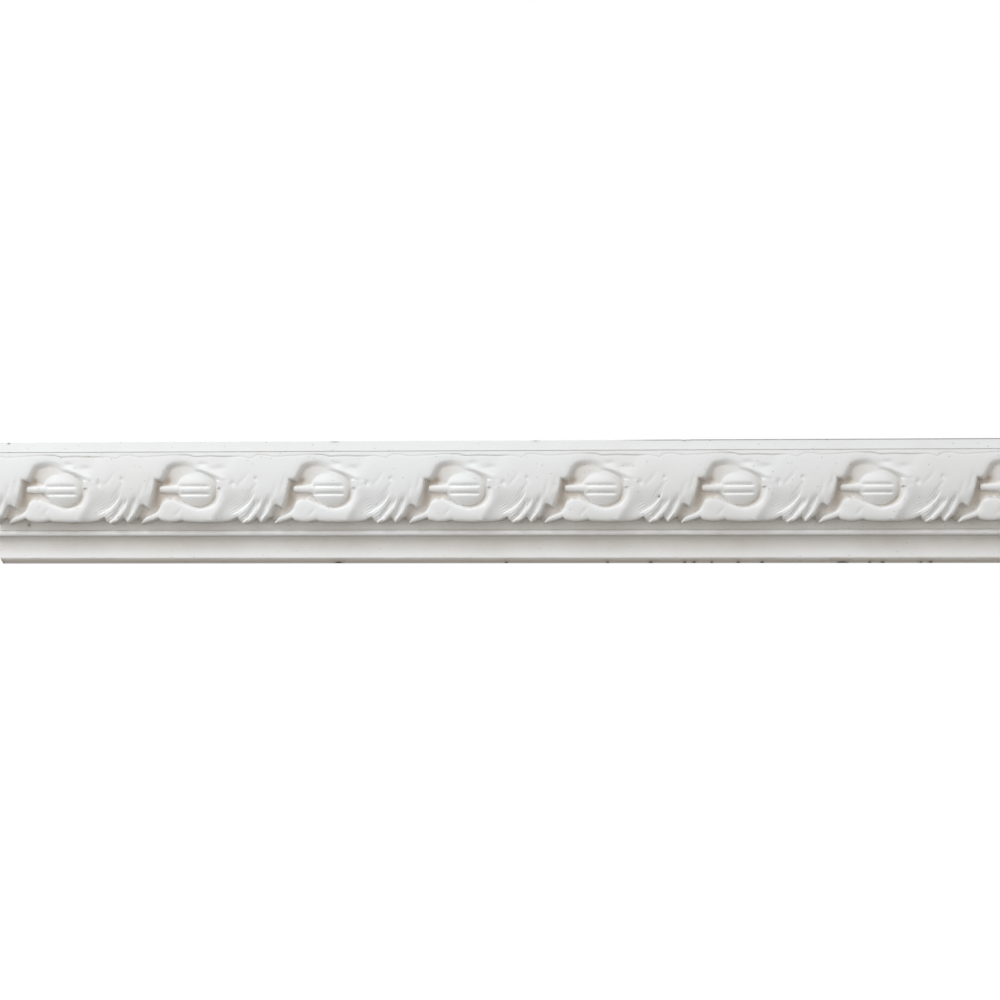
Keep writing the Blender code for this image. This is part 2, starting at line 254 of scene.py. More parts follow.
@dataclass(frozen=True)
class Ridge:
    """Rounded ridge along each of a few lines, or a rounded cut where its height is negative."""

    lines: tuple[Line, ...]
    height: float
    width: float
    fades: Spot

    def lay(self, level: Grid, drawing: Drawing, x: Grid, d: Grid) -> Grid:
        """Lay the ridge over a surface, faded at both ends of its lines.

        Args:
            level: Levels to add to.
            drawing: The drawing that it repeats on.
            x: Places along the drawing.
            d: Places down the drawing.

        Returns:
            The new levels.
        """
        for points in self.lines:
            stroke = Stroke.smooth(points)
            gap, _, share = stroke.measure(drawing.near(x, stroke.middle), d)
            strength = ease(0, self.fades[0], share) * ease(0, self.fades[1], 1 - share)
            level = level + self.height * strength * np.exp(-((gap / self.width) ** 2))
        return level


@dataclass(frozen=True)
class LeafCarving:
    """Running acanthus leaf: every line and level of one repeat, on the drawing's grid."""

    drawing: Drawing = Drawing()
    pod: SeedPod = SeedPod()
    leaf_top: Line = (
        (40, 15), (60, 13.9), (72, 13), (88, 13.1), (95, 14.9), (110, 14.3), (126, 14.9),
        (142, 14.6), (148, 15.8), (151, 17), (154, 15.2), (158, 13.2), (166, 13.2), (171, 14.4))
    leaf_foot: Line = (
        (37, 82.4), (42, 81.2), (51, 78.4), (55.8, 76.6), (58, 79.2), (66, 80.8), (73, 80.6),
        (80.4, 78.8), (83, 80.3), (100, 81.2), (122, 80.6), (129, 79.4), (136.2, 76),
        (138.4, 79.4), (142, 82.4), (149, 80.2), (155.6, 75.8), (157.6, 79.6), (160.5, 81.9),
        (166, 76.5), (169, 76), (171, 80))
    hollow_edge: Line = (
        (55.5, 40), (60, 36.4), (63, 31), (67, 24.6), (73, 21.4), (80, 20.4), (86, 20.4), (92, 22),
        (98, 25.4), (104, 28), (111, 31.4), (116.5, 35.5), (120, 40.5), (121.8, 46), (121, 52),
        (117, 58.5), (111, 64), (98, 67.6), (85.5, 64), (76, 59.6), (70.6, 57.8), (65, 58),
        (61, 60), (55, 60), (52, 52))
    gap_edge: Line = (
        (54.2, 38), (53.8, 42.3), (51.8, 50.4), (49.8, 57.2), (47, 63.6), (45, 66), (42.5, 64.4),
        (39.4, 63.4), (36.8, 65.8), (31.6, 75.5), (28, 81), (27, 86), (30, 94), (39, 94),
        (36.6, 82.6), (38.8, 78.6), (42, 75.8), (50.5, 72.2), (54.3, 70), (57, 66.4),
        (58.8, 62.4), (61.2, 59.2), (65.4, 57.6), (71, 57.6), (73, 52), (68, 44.5), (63, 40))
    recess_floor: tuple[Trio, ...] = (
        (57, 41, -8.5), (65, 40, -7.5), (66, 35, -6.5), (70, 29, -5.4), (77, 25, -4.4),
        (84, 23.5, -3.6), (91, 25, -2.4), (84, 29, -3), (76, 34, -4.4), (98, 28.5, -1.8),
        (107, 32, -1.6), (114, 37, -2), (117.5, 43, -2.6), (117, 51, -3.8), (110, 58.5, -5.2),
        (103, 62.5, -5.8), (86, 60.5, -6), (76, 54.5, -7), (66, 54, -8), (60, 52, -8.5),
        (122, 48, -1.2), (53, 50, -9), (50, 60, -9), (47, 68, -9), (41, 72, -9), (36, 77, -10),
        (32, 82, -14))
    swell: tuple[Trio, ...] = (
        (140, 30, 0.4), (165, 30, 0.3), (150, 45, 0.5), (175, 45, 0.8), (120, 20, -0.4),
        (60, 20, 0.3), (40, 35, 0.5), (100, 18, -0.3), (62, 62, 0.2), (61, 67, 1.6), (70, 60, 1),
        (75, 66, 1.4), (85, 68, 1.9), (97, 70, 2.4), (110, 68, 2.4), (119, 58, 1.4), (45, 77, 2.2),
        (60, 77, 3.4), (75, 77, 3.6), (90, 78, 4), (104, 77, 4.2), (137, 60, 0), (124, 76, 1.6),
        (142, 80, 2.4), (150, 74, 1.4), (160, 80, 2.4), (166, 72, 1.2), (182, 60, 1))
    swell_spread: float = 7.0
    floor_spread: float = 4.4
    faint_pull: float = 1e-8
    fold_trough: Ridge = Ridge(
        (((143, 50), (138, 58), (133, 65), (127, 72), (122, 80), (120, 84)),), -1.2, 9.5, (0.4, 0.01))
    fold: Ridge = Ridge(
        (((126, 51), (122.6, 58), (118.5, 65), (113, 73), (110, 80)),), 0.8, 4, (0.35, 0.01))
    crests: tuple[Line, ...] = (
        ((157, 46), (154.5, 54), (150, 61), (145, 65.6), (140, 69), (130, 74.4)),
        ((163, 54), (161, 61), (156.5, 67), (151, 73), (145, 78.5), (140.5, 82)),
        ((172.5, 50), (171.2, 58), (168.5, 66), (164.6, 73), (160.6, 78), (158.4, 82)))
    crest_cuts: tuple[Trio, ...] = ((2.2, 5, 0.25), (3, 5.4, 0.01), (2.9, 5, 0.01))
    crest_fade: float = 0.35
    crest_slope: float = 1.3
    crest_side: Spot = (-1.2, 2.6)
    fibre_pitch: float = 2.7
    fibre_height: float = 0.22
    fibre_reach: float = 13.0
    fibre_fades: Spot = (0.3, 0.1)
    veins: Ridge = Ridge(
        (((163, 32), (158, 41), (151, 50), (144, 58)), ((179, 36), (175, 49), (171, 62)),
         ((82, 64), (78.5, 68), (74.5, 72.5), (71, 77)), ((152, 26), (144, 38), (134, 48)),
         ((188, 26), (185, 40), (180, 54))), -0.45, 1.9, (0.5, 0.4))
    grooves: Ridge = Ridge(
        (((157, 56), (153.5, 64), (149.5, 71), (145, 77)),
         ((168, 55), (165, 63), (161.5, 71), (156, 79))), -1.5, 2.2, (0.4, 0.01))
    lower_leaf: Spot = (50, 61)
    lip_runs: Spot = (2.6, 4.2)
    lip_drops: Spot = (1.2, 2.2)
    lip_from: float = 5.0
    gap_wall: Spot = (-1, 1.8)
    hollow_wall: float = -1.2
    hollow_slopes: Spot = (5.5, 2.6)
    rim_roll: Ridge = Ridge(
        (((92, 25), (99, 27.6), (110, 31.2), (120, 35), (128, 38.4)),), 1.3, 2.8, (0.35, 0.2))
    tab: Line = ((116.8, 38.8), (131.4, 39.8), (132.4, 45.6), (124, 46.4), (116.8, 46.8))
    tab_level: float = 0.7
    tab_wall: Spot = (-0.6, 1)
    pits: tuple[tuple[Spot, Spot, float], ...] = (
        ((102.5, 22.6), (5, 2.4), 0.9), ((119.5, 26.4), (6, 2.8), 0.8), ((156.6, 37.4), (1.6, 2.2), 1.1),
        ((132.6, 42), (2.6, 3), 1.2), ((57.6, 41), (3.2, 3), 2), ((65.4, 40.4), (3.2, 3), 3))
    fillet_level: float = 0.6
    crease: float = 0.2
    crease_at: float = 0.4
    crease_run: float = 0.8
    foot_roll: float = 2.2
    foot_roll_run: float = 1.4
    sharp: float = 0.8

    def field(self, spots: Sequence[Trio], spread: float, x: Grid, d: Grid) -> Grid:
        """Smooth level through a few spots, the same in every repeat.

        Args:
            spots: Spots as (x, d, level).
            spread: How far each spot reaches, in drawn units.
            x: Places along the drawing.
            d: Places down the drawing.

        Returns:
            The levels.
        """
        total = np.zeros(x.shape)
        weight = np.zeros(x.shape)
        for spot_x, spot_d, level in spots:
            reach = (self.drawing.near(x, spot_x) - spot_x) ** 2 + (d - spot_d) ** 2
            pull = np.exp(-reach / (2 * spread**2)) + self.faint_pull
            total += pull * level
            weight += pull
        return total / weight

    def cut_beside(self, level: Grid, points: Line, sizes: Trio, x: Grid, d: Grid) -> Grid:
        """Cut down the upper left side of a line and leave it as a crest, with fine fibres beside it.

        Args:
            level: Levels to cut.
            points: Points of the crest.
            sizes: Depth of the cut, how far it runs, and the share of the line where it fades out.
            x: Places along the drawing.
            d: Places down the drawing.

        Returns:
            The new levels.
        """
        depth, run, tail = sizes
        stroke = Stroke.smooth(points)
        gap, side, share = stroke.measure(self.drawing.near(x, stroke.middle), d)
        across = gap * side
        strength = ease(0, self.crest_fade, share) * ease(0, tail, 1 - share)
        cut = depth * np.exp(-((gap / run) ** self.crest_slope)) * ease(*self.crest_side, across)
        fibres = np.cos(2 * math.pi * across / self.fibre_pitch) * np.exp(-((gap / self.fibre_reach) ** 2))
        first, last = self.fibre_fades
        fibres = self.fibre_height * fibres * ease(0, first, share) * ease(0, last, 1 - share)
        return level - cut * strength + fibres

    def frond(self, level: Grid, x: Grid, d: Grid) -> Grid:
        """The fold of the lower leaf and the overlapping ribs of the frond.

        Args:
            level: Levels of the leaf's swell.
            x: Places along the drawing.
            d: Places down the drawing.

        Returns:
            The new levels.
        """
        for ridge in (self.fold_trough, self.fold):
            level = ridge.lay(level, self.drawing, x, d)
        for points, sizes in zip(self.crests, self.crest_cuts):
            level = self.cut_beside(level, points, sizes, x, d)
        for ridge in (self.veins, self.grooves):
            level = ridge.lay(level, self.drawing, x, d)
        return level

    def recess(self, level: Grid, x: Grid, d: Grid) -> Grid:
        """The gap and the hollow cut down to their floor, with the pod, rolled rim, pits and tab.

        Args:
            level: Levels of the leaf.
            x: Places along the drawing.
            d: Places down the drawing.

        Returns:
            The new levels.
        """
        near = self.drawing.near
        gap = Stroke.closed(self.gap_edge).inside(near(x, self.gap_edge[0][0]), d)
        hollow = Stroke.closed(self.hollow_edge).inside(near(x, self.drawing.pod), d)
        floor = self.field(self.recess_floor, self.floor_spread, x, d)
        floor = self.pod.level(near(x, self.drawing.pod) - self.drawing.pod, d, floor)
        lower_leaf = ease(*self.lower_leaf, d)
        beyond = np.clip(-np.maximum(gap, hollow), 0, None) / mix(*self.lip_runs, lower_leaf)
        lip = mix(*self.lip_drops, lower_leaf) * np.exp(-beyond) * np.clip(-floor / self.lip_from, 0, 1)
        slope = mix(*self.hollow_slopes, lower_leaf)
        walls = np.maximum(ease(*self.gap_wall, gap), ease(self.hollow_wall, slope, hollow))
        level = self.rim_roll.lay(mix(level - lip, floor, walls), self.drawing, x, d)
        tab = Stroke(np.array(self.tab + self.tab[:1])).inside(near(x, self.tab[0][0]), d)
        level = mix(level, self.tab_level, ease(*self.tab_wall, tab))
        for (pit_x, pit_d), (half_x, half_d), depth in self.pits:
            reach = np.hypot((near(x, pit_x) - pit_x) / half_x, (d - pit_d) / half_d)
            level = level - depth * np.exp(-(reach**2))
        return level

    def foot_at(self, x: Grid) -> Grid:
        """Where the scalloped foot of the leaves lies, down the drawing."""
        return self.drawing.wave(self.leaf_foot, x)

    def level(self, x: Grid, d: Grid) -> Grid:
        """Level of the carving against the band's face, negative into the plaster.

        Args:
            x: Places along the drawing.
            d: Places down the drawing.

        Returns:
            The levels, in drawn units.
        """
        level = self.field(self.swell, self.swell_spread, x, d)
        level = self.recess(self.frond(level, x, d), x, d)
        above_foot = self.foot_at(x) - d
        level = level - self.foot_roll * np.exp(-np.clip(above_foot, 0, None) / self.foot_roll_run)
        level = np.where(above_foot < 0, -self.drawing.band, level)
        below_top = d - self.drawing.wave(self.leaf_top, x)
        level = mix(self.fillet_level, level, ease(-self.sharp, self.sharp, below_top))
        return level - self.crease * np.exp(-(((below_top - self.crease_at) / self.crease_run) ** 2))


class Member(Enum):
    """Member of the moulding's section, from the ceiling down the face and back behind it."""

    TOP_FILLET = 0
    QUIRK = 1
    BAND = 2
    GROOVE = 3
    BEAD = 4
    CAVETTO = 5
    ARRIS = 6
    SPLAY = 7
    SOFFIT = 8
    WALL_BED = 9
    BACK = 10
    CEILING_BED = 11


FACE = (Member.TOP_FILLET, Member.QUIRK, Member.BAND, Member.GROOVE, Member.BEAD, Member.CAVETTO,
        Member.ARRIS, Member.SPLAY)
RUN = (Member.TOP_FILLET, Member.BEAD, Member.CAVETTO, Member.SPLAY, Member.SOFFIT)
HIDDEN = (Member.WALL_BED, Member.BACK, Member.CEILING_BED)
# Share of the recess darkening, which is dirt and painted shade, that a member keeps, and an even coat of
# the same tint over all of it: dust and painted shade on the bead and cavetto under the leaf band, and
# mostly painted shade on the splay, which faces down
GRIME_AND_PAINTED_SHADE = {Member.GROOVE: (0.5, 0), Member.BEAD: (0.5, 0.06), Member.CAVETTO: (0.8, 0.05),
         Member.SPLAY: (1, 0.5)}


@dataclass(frozen=True)
class Row:
    """Row of the loft: its member, and its drop and out at each place along the length."""

    member: Member
    drop: Grid
    out: Grid


@dataclass(frozen=True)
class Section:
    """Sizes of the moulding's section and the rows that draw it."""

    top_fillet: float = 0.0102
    quirk: float = 0.0008
    thin_fillet: float = 0.002
    band: float = 0.071
    groove: float = 0.004
    bead: float = 0.0064
    cavetto: float = 0.0206
    arris: float = 0.0018
    splay: float = 0.0052
    soffit_depth: float = 0.0095
    splay_depth: float = 0.006
    cavetto_depth: float = 0.0075
    bead_proud: float = 0.004
    band_foot_proud: float = 0.0115
    band_setback: float = 0.018
    top_fillet_proud: float = 0.0015
    quirk_cut: float = 0.001
    groove_cut: float = 0.015
    bead_depth: float = 0.0034
    band_bulge: float = 0.0042
    wall_bed: float = 0.028
    ceiling_bed: float = 0.024
    softened: float = 0.0004
    leaf_rows: int = 112
    under_leaf_rows: int = 9
    foot_gap: float = 0.00015
    bead_rows: int = 16
    cavetto_rows: int = 26
    bed_edge: float = 0.004

    @property
    def drops(self) -> Grid:
        """Drops of the lines between the members, from the ceiling to the soffit."""
        heights = (self.top_fillet, self.quirk, self.thin_fillet, self.band, self.groove, self.bead,
                   self.cavetto, self.arris, self.splay)
        return np.concatenate([[0], np.cumsum(heights)])

    @property
    def outs(self) -> Grid:
        """Outs of the soffit, arris, cavetto top, bead, band foot, thin fillet and top fillet."""
        steps = (self.soffit_depth, self.splay_depth, self.cavetto_depth, self.bead_proud,
                 self.band_foot_proud, self.band_setback, self.top_fillet_proud)
        return np.cumsum(steps)

    def band_face(self, drop: Grid) -> Grid:
        """Out of the uncarved band, a shallow arc bellied out from its chord.

        Args:
            drop: Drops below the ceiling.

        Returns:
            The outs.
        """
        top, foot = self.drops[3], self.drops[4]
        top_out, foot_out = self.outs[5], self.outs[4]
        height, setback = foot - top, top_out - foot_out
        chord = math.hypot(height, setback)
        radius = (chord**2 / 4 + self.band_bulge**2) / (2 * self.band_bulge)
        inset = (radius - self.band_bulge) / chord
        centre_out = (top_out + foot_out) / 2 - inset * height
        centre_drop = (top + foot) / 2 - inset * setback
        return centre_out + np.sqrt(np.maximum(radius**2 - (drop - centre_drop) ** 2, 0))

    def carved_rows(self, along: Grid, carving: LeafCarving, drawn_x: Grid) -> list[Row]:
        """Rows of the leaf band, which keep to the leaves' foot, and of the groove under it.

        Args:
            along: Places along the length. Not used.
            carving: The carving on the band.
            drawn_x: The same places on the drawing.

        Returns:
            The rows, from the thin fillet down to the bead.
        """
        to_drop = self.band / carving.drawing.band
        foot = (carving.foot_at(drawn_x) - carving.drawing.band_top) * to_drop + self.drops[3]
        groove_out = self.outs[4] - self.groove_cut
        shares = np.linspace(0, 1, self.leaf_rows)
        above = self.drops[2] + (foot - self.foot_gap - self.drops[2])[:, None] * shares
        shares = np.linspace(0, 1, self.under_leaf_rows)
        below = foot[:, None] + self.foot_gap + (self.drops[5] - foot - self.foot_gap)[:, None] * shares
        drop = np.hstack([above, below])
        drawn_d = (drop - self.drops[3]) / to_drop + carving.drawing.band_top
        level = carving.level(np.broadcast_to(drawn_x[:, None], drop.shape), drawn_d)
        out = np.maximum(self.band_face(drop) + level * to_drop, groove_out)
        members = [Member.BAND] * self.leaf_rows + [Member.GROOVE] * self.under_leaf_rows
        return [Row(member, drop[:, j], out[:, j]) for j, member in enumerate(members)]

    def plain_rows(self, along: Grid, runs: Sequence[tuple[Member, int, Sequence[Spot]]]) -> list[Row]:
        """Rows along straight runs of the section.

        Args:
            along: Places along the length.
            runs: Member of each run, rows from one of its corners to the next, and its corners as
                (drop, out).

        Returns:
            The rows, without one at the last corner of a run.
        """
        rows = []
        for member, spans, corners in runs:
            for (drop, out), (next_drop, next_out) in zip(corners, corners[1:]):
                for share in np.linspace(0, 1, spans, endpoint=False):
                    rows.append(Row(member, np.full(along.shape, drop + (next_drop - drop) * share),
                                    np.full(along.shape, out + (next_out - out) * share)))
        return rows

    def arc_rows(self, member: Member, turns: Grid, drop: Spot, out: Spot, along: Grid) -> list[Row]:
        """Rows of an elliptical arc.

        Args:
            member: The member that the rows belong to.
            turns: Angles of the rows, in radians.
            drop: Middle and radius down the section.
            out: Middle and radius out from the wall.
            along: Places along the length.

        Returns:
            The rows.
        """
        return [Row(member, np.full(along.shape, drop[0] - drop[1] * math.sin(turn)),
                    np.full(along.shape, out[0] + out[1] * math.cos(turn))) for turn in turns]

    def rows(self, along: Grid, carving: LeafCarving, drawn_x: Grid) -> list[Row]:
        """Every row of the closed section, from the top corner down the face and back behind it.

        Args:
            along: Places along the length.
            carving: The carving on the band.
            drawn_x: The same places on the drawing.

        Returns:
            The rows.
        """
        drops, soft = self.drops, self.softened
        soffit, arris, cove_top, bead_front, _, _, top_out = self.outs
        foot, quirk_out = drops[9], top_out - self.quirk_cut
        behind, bed_edge = top_out - self.ceiling_bed, top_out - self.bed_edge
        rows = self.plain_rows(along, (
            (Member.TOP_FILLET, 1, [(0, top_out - soft), (soft, top_out)]),
            (Member.TOP_FILLET, 8, [(soft, top_out), (drops[1] - soft, top_out)]),
            (Member.TOP_FILLET, 1, [(drops[1] - soft, top_out), (drops[1], top_out - soft)]),
            (Member.QUIRK, 1, [(drops[1], top_out - soft), (drops[1], quirk_out), (drops[2], quirk_out),
                               (drops[2], quirk_out)])))
        rows += self.carved_rows(along, carving, drawn_x)
        turns = np.linspace(math.pi / 2, -math.pi / 2, self.bead_rows)
        rows += self.arc_rows(Member.BEAD, turns, ((drops[5] + drops[6]) / 2, self.bead / 2),
                              (bead_front - self.bead_depth, self.bead_depth), along)
        turns = np.linspace(math.pi / 2, 0, self.cavetto_rows)[:-1]
        rows += self.arc_rows(Member.CAVETTO, turns, (drops[7], self.cavetto),
                              (cove_top, -self.cavetto_depth), along)
        return rows + self.plain_rows(along, (
            (Member.ARRIS, 3, [(drops[7], arris), (drops[8] - soft, arris)]),
            (Member.SPLAY, 4, [(drops[8] - soft, arris), (drops[8], arris - soft / 2),
                               (foot - soft, soffit + soft)]),
            (Member.SOFFIT, 4, [(foot - soft, soffit + soft), (foot, soffit - soft / 2), (foot, 0)]),
            (Member.WALL_BED, 5, [(foot, 0), (foot - self.wall_bed, 0)]),
            (Member.BACK, 12, [(foot - self.wall_bed, 0), (0, behind)]),
            (Member.CEILING_BED, 3, [(0, behind), (0, bed_edge)]),
            (Member.CEILING_BED, 4, [(0, bed_edge), (0, top_out - soft)])))


class Edge(Enum):
    """Edge of the face that a chip is knocked out of."""

    TOP = "top"
    FOOT = "foot"


@dataclass(frozen=True)
class Chip:
    """Chip out of a long edge, with how dark its inside is painted."""

    edge: Edge
    at: float
    width: float
    bite: float
    dark_mark: float


# Chips of each long edge, as (place from the left end, width, bite, darkening)
CHIPS = {
    Edge.TOP: (
        (0.021, 0.0016, 0.0008, 0.9), (0.353, 0.005, 0.0004, 0.5), (0.554, 0.003, 0.0004, 0.5),
        (0.7015, 0.003, 0.0004, 0.5)),
    Edge.FOOT: (
        (0.001, 0.0018, 0.0004, 1.6), (0.3496, 0.0032, 0.001, 1.8), (0.5213, 0.0012, 0.0006, 1.4),
        (0.6235, 0.0013, 0.0006, 1.6), (0.667, 0.0018, 0.0008, 1.6), (0.7015, 0.0012, 0.0006, 1.6),
        (0.7103, 0.0014, 0.0007, 1.6), (0.7281, 0.0012, 0.0006, 1.6), (0.7546, 0.0014, 0.0006, 1.4),
        (0.7782, 0.0016, 0.0007, 1.6), (0.8583, 0.0046, 0.0009, 1.8), (0.8856, 0.0014, 0.0006, 1.6),
        (0.8983, 0.0016, 0.0006, 1.6), (0.9361, 0.0013, 0.0006, 1.6), (0.9459, 0.0016, 0.0007, 1.6))}


@dataclass(frozen=True)
class Wear:
    """Unevenness of a hand-cast length and the damage that it has taken, placed from its left end."""

    waver: float = 0.00016
    waves: int = 7
    wave_lengths: Spot = (0.05, 0.4)
    wave_tilts: Spot = (-60, 60)
    wave_phases: Spot = (0, 6.3)
    seed: int = 11
    jags: Spot = (0.6, 1.4)
    jagged_length: float = 1.1
    chips: tuple[Chip, ...] = tuple(Chip(edge, *sizes) for edge, rows in CHIPS.items() for sizes in rows)
    chip_step: float = 0.0012
    chip_slant: float = 0.5
    top_reach: float = 0.0016
    foot_reach: float = 0.0017
    pits: tuple[Trio, ...] = ((0.6759, 0.0561, 0.0011), (0.0332, 0.0828, 0.0012))
    pit_depth: float = 0.0009
    pit_dark_mark: float = 0.8
    broken_corner: Spot = (0.0022, 0.006)
    broken_step: float = 0.0009
    broken_dark_mark: float = 0.35
    worn_corner: Spot = (0.021, 0.0012)
    worn_run: Spot = (1, 0.7)
    worn_step: float = 0.002
    worn_reach: float = 0.004

    def wavering(self, along: Grid, drop: Grid) -> Grid:
        """Slow unevenness of the face.

        Args:
            along: Places from the left end, one for each column.
            drop: Drops of every point.

        Returns:
            How far each point lies back from the true section.
        """
        picks = np.random.default_rng(self.seed)
        total = np.zeros(drop.shape)
        for _ in range(self.waves):
            length, tilt = picks.uniform(*self.wave_lengths), picks.uniform(*self.wave_tilts)
            phase = picks.uniform(*self.wave_phases)
            total += 0.5 + 0.5 * np.sin(2 * math.pi * along[:, None] / length + tilt * drop + phase)
        return self.waver * total / self.waves * 2

    def jagged(self, along: Grid, scale: float, lane: int) -> Grid:
        """Rough line around 1 along the length, for the edge of a break.

        Args:
            along: Places from the left end.
            scale: Length of one step of the line.
            lane: Which of the lines to take.

        Returns:
            The line's values.
        """
        steps = int(self.jagged_length / scale)
        picks = np.random.default_rng(self.seed + lane).uniform(*self.jags, steps)
        return np.interp(along / scale, np.arange(steps), picks)

    def knock(self, along: Grid, drop: Grid, out: Grid, top_out: float,
              foot: Spot) -> tuple[Grid, Grid, Grid]:
        """Knock the chips, pits and broken corners out of the face.

        Args:
            along: Places from the left end, one for each column.
            drop: Drops of every point.
            out: Outs of every point.
            top_out: Out of the top edge.
            foot: Drop and out of the foot edge.

        Returns:
            The new drops, the new outs, and how dark each point is painted.
        """
        dark_mark = np.zeros(drop.shape)
        to_top = np.hypot(drop, out - top_out)
        to_foot = np.hypot(drop - foot[0], out - foot[1])
        drop, out = drop.copy(), out.copy()
        for chip in self.chips:
            reach = (along - chip.at) / chip.width * self.jagged(along, self.chip_step, 1)
            bell = np.exp(-(reach[:, None] ** 2))
            if chip.edge is Edge.TOP:
                near = np.exp(-((to_top / self.top_reach) ** 2))
                drop += chip.bite * bell * near
            else:
                near = np.exp(-((to_foot / self.foot_reach) ** 2))
                drop -= chip.bite * bell * near
            out -= self.chip_slant * chip.bite * bell * near
            dark_mark = np.maximum(dark_mark, chip.dark_mark * bell * near)
        for at, pit_drop, radius in self.pits:
            dent = np.exp(-((np.hypot((along - at)[:, None], drop - pit_drop) / radius) ** 2))
            out -= self.pit_depth * dent * (out > foot[1])
            dark_mark = np.maximum(dark_mark, self.pit_dark_mark * dent)
        reach, rise = self.broken_corner
        lost = rise * np.clip(1 - along / reach, 0, 1) * self.jagged(along, self.broken_step, 2)
        broken = np.clip(drop - (foot[0] - lost)[:, None], 0, None)
        dark_mark = np.maximum(dark_mark, self.broken_dark_mark * (broken > 0))
        drop -= broken
        reach, fall = self.worn_corner
        worn = fall * ease(*self.worn_run, along / reach) * self.jagged(along, self.worn_step, 3)
        drop += worn[:, None] * np.exp(-((to_top / self.worn_reach) ** 2))
        return drop, out, np.clip(dark_mark, 0, 1)


class Value:
    """Shader value that takes part in Python sums: each operator adds its Math node."""

    def __init__(self, graph: "Graph", socket: bpy.types.NodeSocket) -> None:
        """Wrap an output socket of a graph's node."""
        self.graph = graph
        self.socket = socket

    def _math(self, operation: str, first: "Value | float", second: "Value | float") -> "Value":
        """Add a Math node that works on two values."""
        return self.graph.node("ShaderNodeMath", {"operation": operation}, {0: first, 1: second})

    def __add__(self, other: "Value | float") -> "Value":
        """Sum of the two."""
        return self._math("ADD", self, other)

    __radd__ = __add__

    def __sub__(self, other: "Value | float") -> "Value":
        """Difference of the two."""
        return self._math("SUBTRACT", self, other)

    def __rsub__(self, other: float) -> "Value":
        """A number less this value."""
        return self._math("SUBTRACT", other, self)

    def __mul__(self, other: "Value | float") -> "Value":
        """Product of the two."""
        return self._math("MULTIPLY", self, other)

    __rmul__ = __mul__

    def over(self, level: float) -> "Value":
        """1 where this value is over the level, and 0 elsewhere."""
        return self._math("GREATER_THAN", self, level)


class Graph:
    """Node tree of one material."""

    def __init__(self, name: str) -> None:
        """Start a material of that name."""
        self.material = bpy.data.materials.new(name)
        self.material.use_nodes = True
        self.tree = self.material.node_tree
        self.shader = self.tree.nodes["Principled BSDF"]

    def node(self, kind: str, settings: dict[str, Any], inputs: dict[str | int, Any],
             output: str | int = 0) -> Value:
        """Add a node.

        Args:
            kind: Type of the node.
            settings: Its settings, such as an operation, set before the sockets.
            inputs: Values or links for its input sockets, by name or place.
            output: The output socket to take.

        Returns:
            That output as a value.
        """
        made = self.tree.nodes.new(kind)
        for key, setting in settings.items():
            setattr(made, key, setting)
        for key, value in inputs.items():
            self.feed(made.inputs[key], value)
        return Value(self, made.outputs[output])

    def feed(self, socket: bpy.types.NodeSocket, value: Any) -> None:
        """Link a value to a socket, or set the socket to a plain number or colour."""
        if isinstance(value, Value):
            self.tree.links.new(value.socket, socket)
        else:
            socket.default_value = value

    def noise(self, place: Value, scale: float, detail: float, roughness: float) -> Value:
        """Cloudy noise around 0.5 at a place."""
        return self.node("ShaderNodeTexNoise", {}, {
            "Vector": place, "Scale": scale, "Detail": detail, "Roughness": roughness})

    def attribute(self, name: str) -> Value:
        """Number stored on the mesh under a name."""
        return self.node("ShaderNodeAttribute", {"attribute_name": name}, {}, "Fac")

    def band(self, value: Value, low: float, high: float) -> Value:
        """Smooth step of a value, from 0 at low to 1 at high."""
        return self.node("ShaderNodeMapRange", {"interpolation_type": "SMOOTHSTEP"}, {
            "Value": value, "From Min": low, "From Max": high})

    def tint(self, first: Value | Trio, second: Value | Trio, share: Value) -> Value:
        """Mix of two colours."""
        colours = [c if isinstance(c, Value) else (*c, 1) for c in (first, second)]
        return self.node("ShaderNodeMix", {"data_type": "RGBA"}, {
            0: share, 6: colours[0], 7: colours[1]}, 2)

    def axis(self, place: Value, name: str) -> Value:
        """One coordinate of a place."""
        return self.node("ShaderNodeSeparateXYZ", {}, {"Vector": place}, name)

    def stretched(self, place: Value, scale: Trio) -> Value:
        """Place with each axis scaled."""
        return self.node("ShaderNodeVectorMath", {"operation": "MULTIPLY"}, {0: place, 1: scale})


